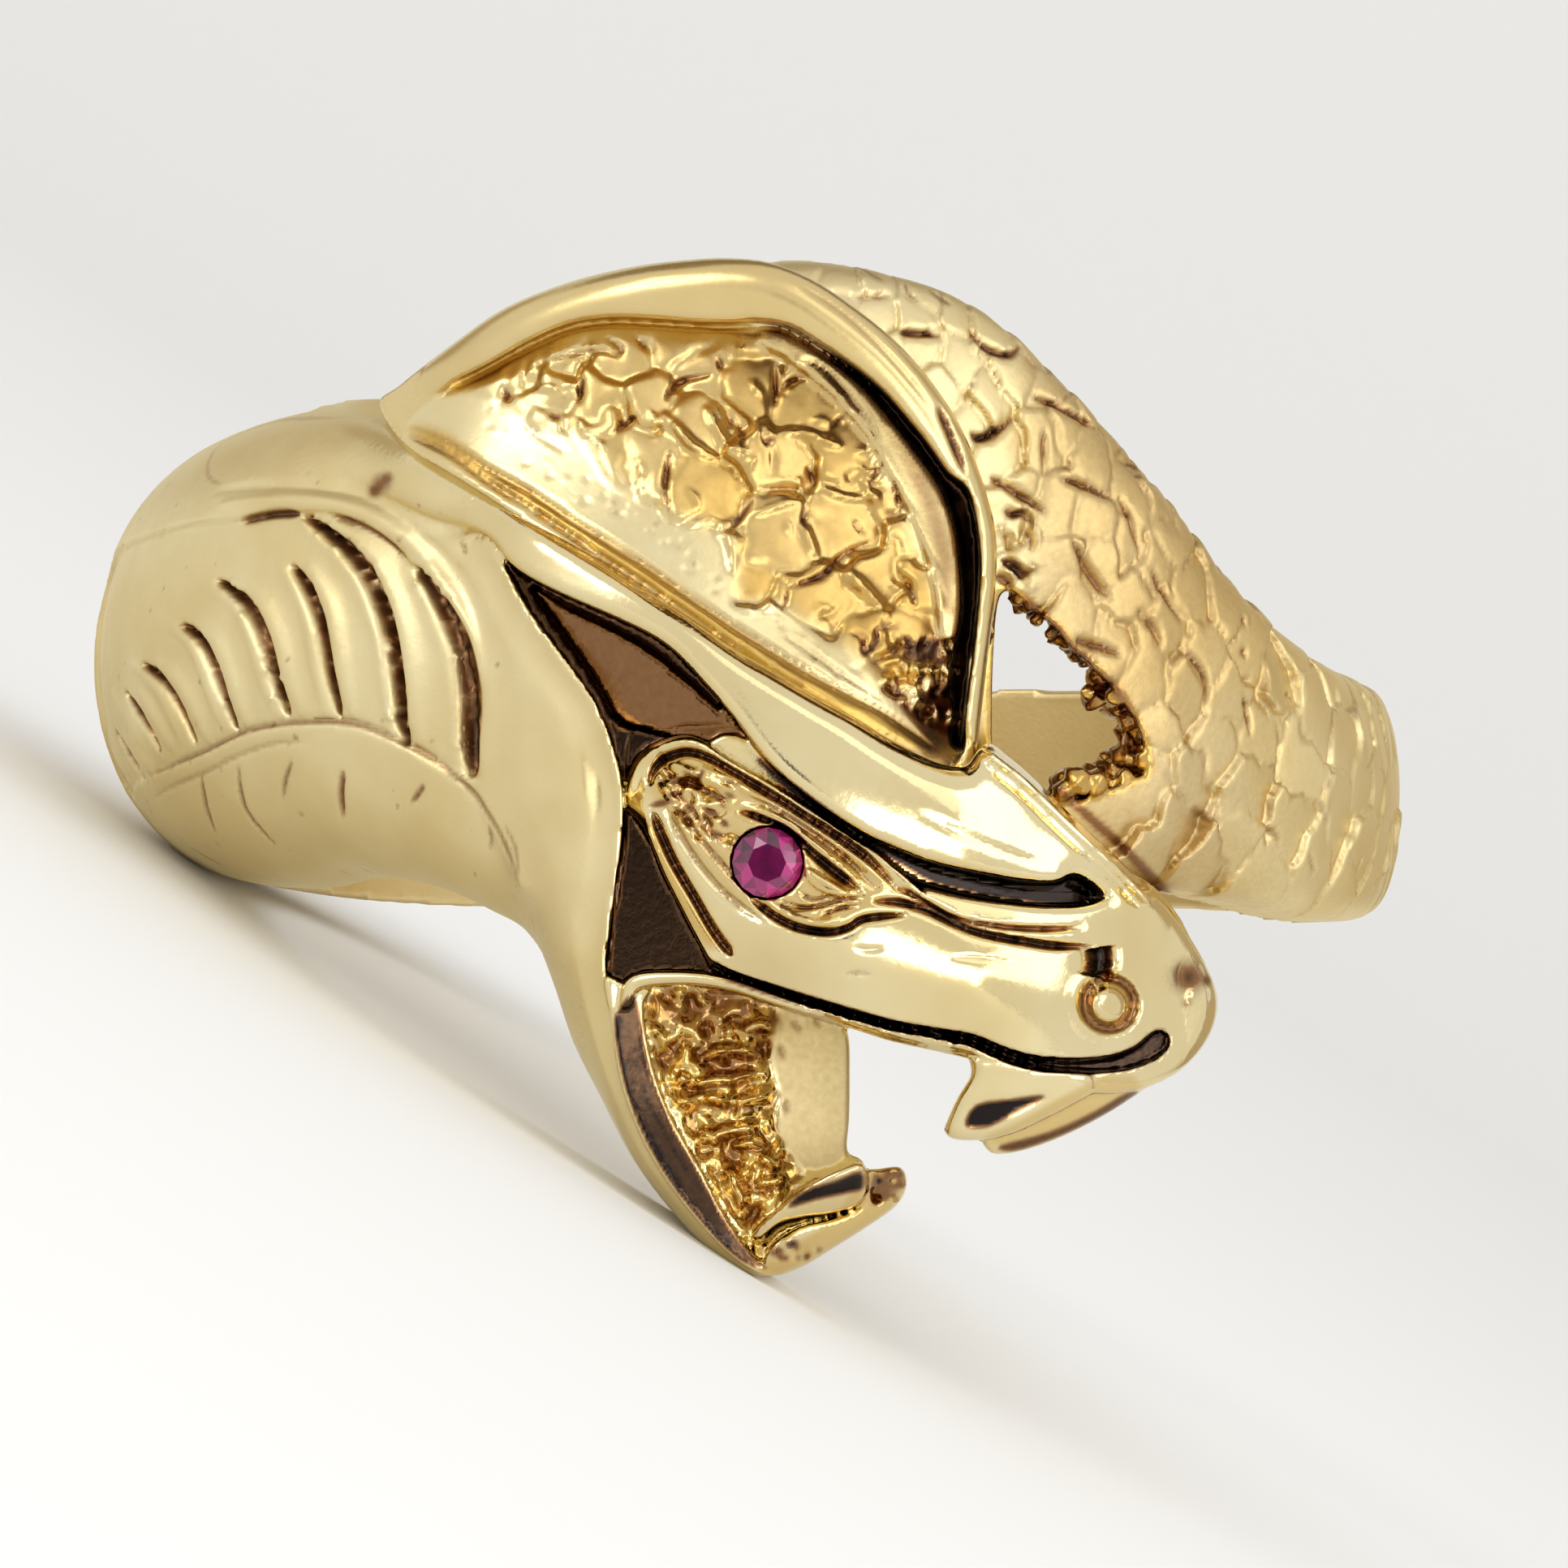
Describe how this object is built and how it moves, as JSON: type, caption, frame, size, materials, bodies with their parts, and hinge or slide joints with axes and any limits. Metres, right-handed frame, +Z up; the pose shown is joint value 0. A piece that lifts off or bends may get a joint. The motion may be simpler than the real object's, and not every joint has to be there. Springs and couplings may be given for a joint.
{
  "type": "finger ring with a ruby",
  "caption": "Cast gold finger ring shaped as a hooded snake with open jaws, a ribbed belly, a scaled hood and body, and a round ruby eye.",
  "frame": {"origin": "centre of the footprint's bounding box, on the surface on which the ring rests", "axes": "+Z up; the ring rests by itself on the lower edge of its belly and the tip of the snake's lower jaw, with the snake's head at the front (-Y); the finger hole's axis tilts 32 degrees to the left from +Z"},
  "size_m": [0.022, 0.0236, 0.0152],
  "materials": {
    "gold": "polished cast gold",
    "ruby": "faceted and polished"
  },
  "bodies": {
    "root": {"ring_body": "gold", "eye_ruby": "ruby"}
  },
  "joints": []
}
